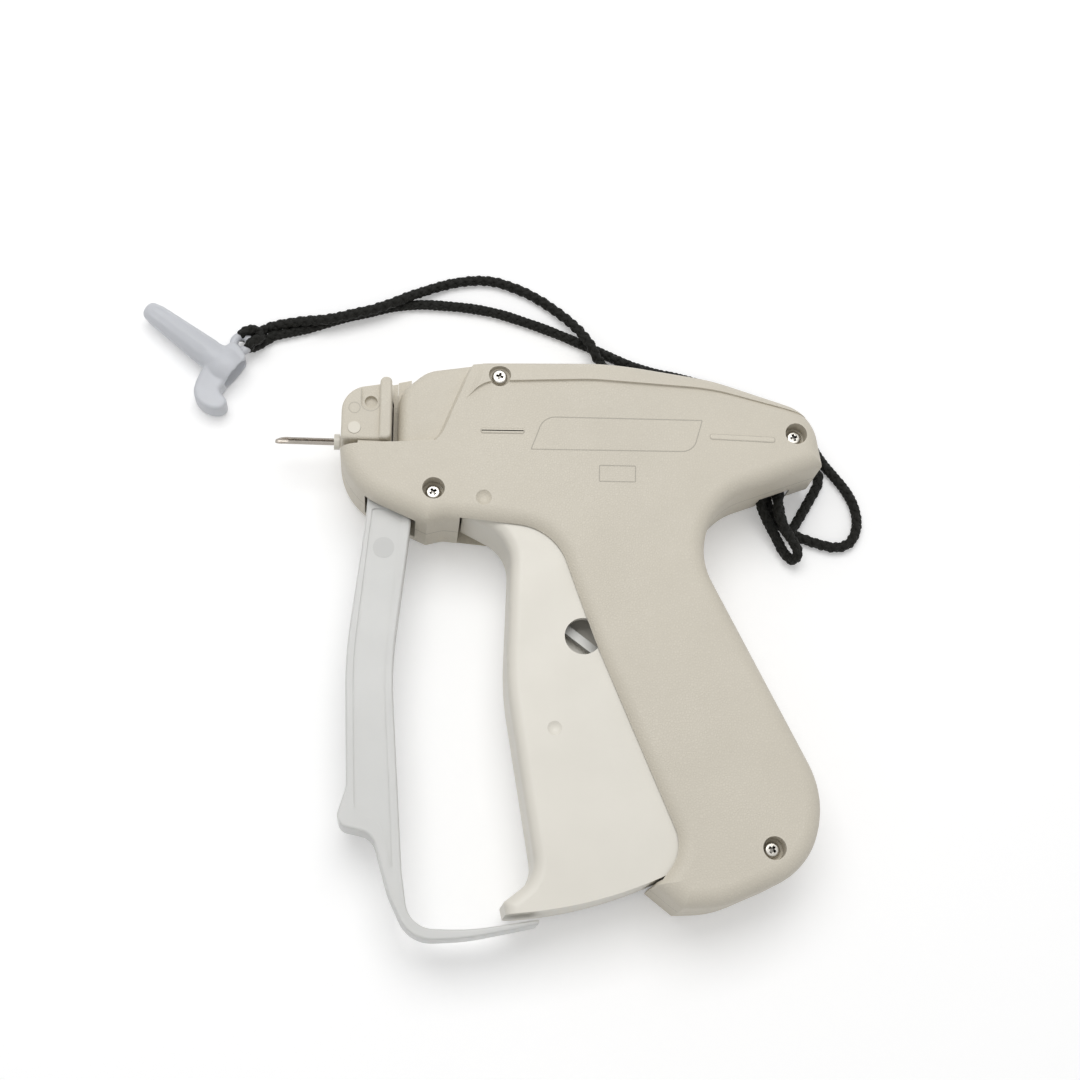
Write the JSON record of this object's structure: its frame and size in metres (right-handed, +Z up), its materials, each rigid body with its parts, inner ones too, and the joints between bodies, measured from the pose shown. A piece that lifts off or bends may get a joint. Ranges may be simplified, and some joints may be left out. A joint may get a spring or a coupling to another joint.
{
  "type": "garment tag attacher",
  "caption": "Hand-squeezed tag attacher: a hollow pistol-grip body with a hinged trigger that drives a push rod through a slotted needle, a finger guard and a corded needle cap.",
  "frame": {"origin": "where the axis of the trigger's pivot meets the flat side that the tool rests on", "axes": "+X from the needle towards the back of the body, +Y from the butt of the grip up to the crown of the body, +Z up through the thickness of the tool"},
  "size_m": [0.2009, 0.1873, 0.027],
  "materials": {
    "housing": "fine leather-like texture, warm grey-beige",
    "trigger": "smooth satin, light cream",
    "guard": "milky translucent nylon",
    "cap": "translucent soft plastic",
    "hub": "smooth off-white",
    "lock_pin": "smooth cream",
    "acetal": "natural white acetal",
    "screw": "bright nickel plate",
    "needle": "ground stainless steel",
    "blade": "ground hard steel",
    "steel": "bright steel",
    "rubber": "matte black",
    "cord": "black braided cord"
  },
  "bodies": {
    "housing": {"near_half": "housing", "far_half": "housing", "crown_screw": "screw", "nose_screw": "screw", "rear_screw": "screw", "butt_screw": "screw", "trigger_pivot_pin": "steel", "drive_arm_pin": "steel", "feed_wheel_pin": "steel", "feed_pawl_pin": "steel", "guard_pin": "steel", "lock_pin": "lock_pin", "needle": "needle", "needle_hub": "hub", "clip_guide": "acetal", "cutter_blade": "blade", "feed_spring": "steel", "return_spring": "steel", "stop_pad": "rubber", "guard": "guard", "lanyard_eye": "steel", "needle_cap": "cap", "cap_hitch": "cord", "lanyard_upper": "cord", "lanyard_lower": "cord", "lanyard_bight": "cord"},
    "trigger": {"trigger": "trigger", "link_pin_front": "steel"},
    "link": {"link": "acetal"},
    "drive_arm": {"drive_arm": "acetal", "link_pin_rear": "steel"},
    "slider": {"slider": "acetal", "slider_pin": "steel", "push_rod": "steel"},
    "feed_wheel": {"feed_wheel": "acetal"},
    "feed_pawl": {"feed_pawl": "acetal"},
    "needle_lock": {"needle_lock": "housing"}
  },
  "joints": [
    {"name": "trigger_pull", "type": "hinge", "parent": "housing", "child": "trigger", "pos_m": [0, 0, 0.0135], "axis": [0, 0, 1], "range_deg": [0, 14], "stiffness_Nm_per_rad": 1, "springref_deg": -20.05, "deforming": ["return_spring"]},
    {"name": "link_swing", "type": "hinge", "parent": "trigger", "child": "link", "pos_m": [0.014, -0.0315, 0.0172], "axis": [0, 0, 1], "range_deg": [-20.7, 0]},
    {"name": "arm_swing", "type": "hinge", "parent": "housing", "child": "drive_arm", "pos_m": [0.0475, -0.0336, 0.0135], "axis": [0, 0, 1], "range_deg": [0, 42.1]},
    {"name": "rod_push", "type": "slide", "parent": "housing", "child": "slider", "axis": [-1, 0, 0], "range_m": [0, 0.0366]},
    {"name": "wheel_turn", "type": "hinge", "parent": "housing", "child": "feed_wheel", "pos_m": [-0.0174, 0.0063, 0.0135], "axis": [0, 0, 1], "continuous": true},
    {"name": "pawl_rock", "type": "hinge", "parent": "housing", "child": "feed_pawl", "pos_m": [-0.0072, 0.0084, 0.0135], "axis": [0, 0, 1], "range_deg": [-7.1, 0]},
    {"name": "lock_turn", "type": "hinge", "parent": "housing", "child": "needle_lock", "pos_m": [-0.0348, 0.0141, 0.0215], "axis": [0, 0, 1], "range_deg": [0, 30]}
  ],
  "couplings": [
    {"joint": "link_swing", "follows": "trigger_pull", "ratio": -1.471},
    {"joint": "arm_swing", "follows": "trigger_pull", "ratio": 3},
    {"joint": "rod_push", "follows": "trigger_pull", "m_per_rad": 0.14978},
    {"joint": "pawl_rock", "follows": "trigger_pull", "ratio": -0.5}
  ]
}
